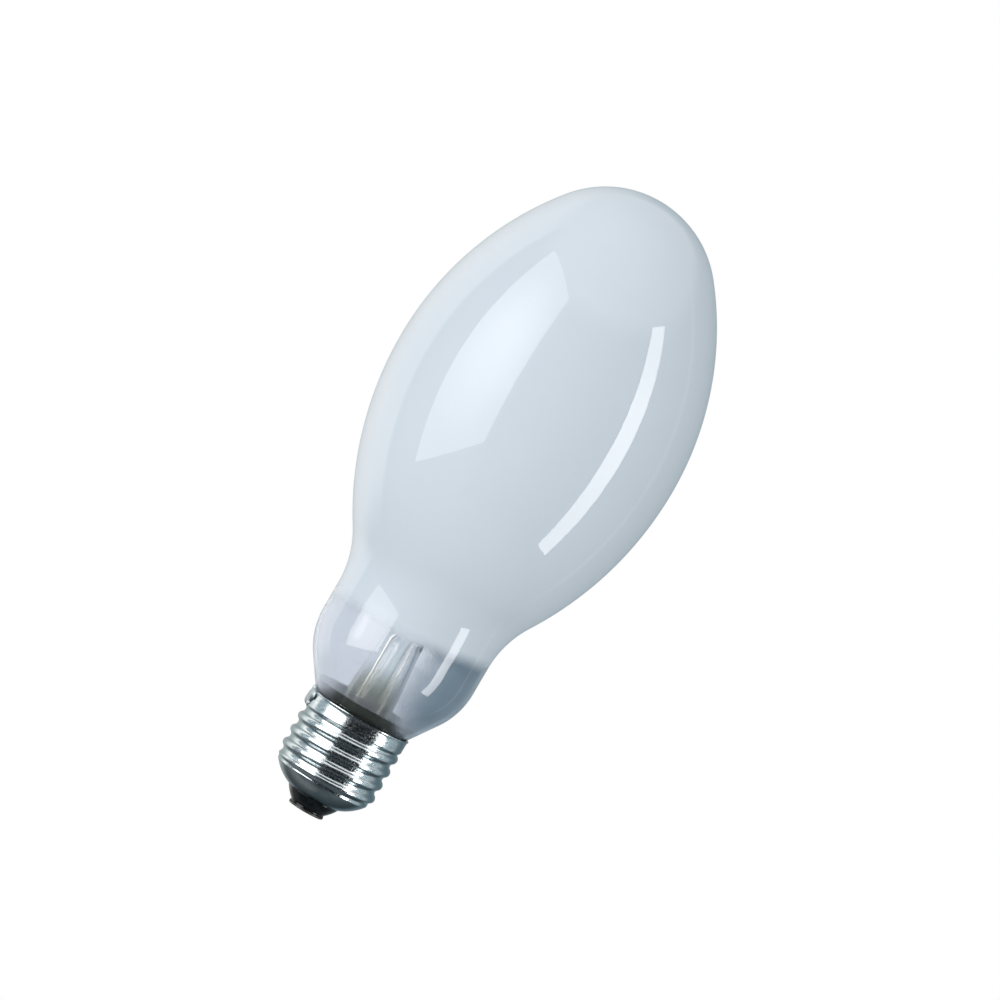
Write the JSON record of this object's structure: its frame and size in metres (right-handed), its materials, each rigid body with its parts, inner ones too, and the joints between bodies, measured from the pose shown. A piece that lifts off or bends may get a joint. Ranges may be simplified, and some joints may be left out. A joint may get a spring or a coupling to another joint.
{
  "type": "high pressure sodium lamp",
  "caption": "Coated elliptical high pressure sodium lamp with a clear neck, glass stem, ceramic arc tube on a wire frame and a plated screw cap.",
  "frame": {"origin": "centre of the tip contact's flat face, which is the middle of the lamp's lowest face", "axes": "+Z along the lamp's axis from the tip contact to the crown of the bulb; +X to the right in the picture's view, which looks along +Y"},
  "size_m": [0.075, 0.075, 0.1686],
  "materials": {
    "clear_glass": "clear blown glass",
    "powder_coat": "fine white powder coat on the inside of the glass",
    "plated_sheet": "nickel-plated rolled sheet",
    "cement": "baked basing cement",
    "black_glass": "black moulded glass",
    "contact_brass": "plated brass",
    "solder": "dull tin solder",
    "sealing_wire": "copper-clad sealing wire",
    "frame_wire": "nickel-plated wire and ribbon",
    "arc_ceramic": "translucent sintered ceramic",
    "niobium": "drawn grey metal tube",
    "tungsten": "dark drawn rod and coil",
    "getter_metal": "flashed channel ring"
  },
  "bodies": {
    "root": {"outer_bulb": "clear_glass", "diffusing_coat": "powder_coat", "stem": "clear_glass", "exhaust_tube": "clear_glass", "screw_shell": "plated_sheet", "basing_cement": "cement", "insulator": "black_glass", "centre_contact": "contact_brass", "centre_solder": "solder", "side_solder": "solder", "long_lead_in": "sealing_wire", "short_lead_in": "sealing_wire", "centre_lead_wire": "sealing_wire", "side_lead_wire": "sealing_wire", "frame_rod": "frame_wire", "short_support": "frame_wire", "arc_tube": "arc_ceramic", "lower_end_plug": "arc_ceramic", "upper_end_plug": "arc_ceramic", "lower_niobium_tube": "niobium", "upper_niobium_tube": "niobium", "lower_electrode": "tungsten", "upper_electrode": "tungsten", "lower_strap": "frame_wire", "upper_strap": "frame_wire", "top_spring": "frame_wire", "getter_ring": "getter_metal", "getter_wire": "frame_wire", "starting_aid": "frame_wire"}
  },
  "joints": []
}
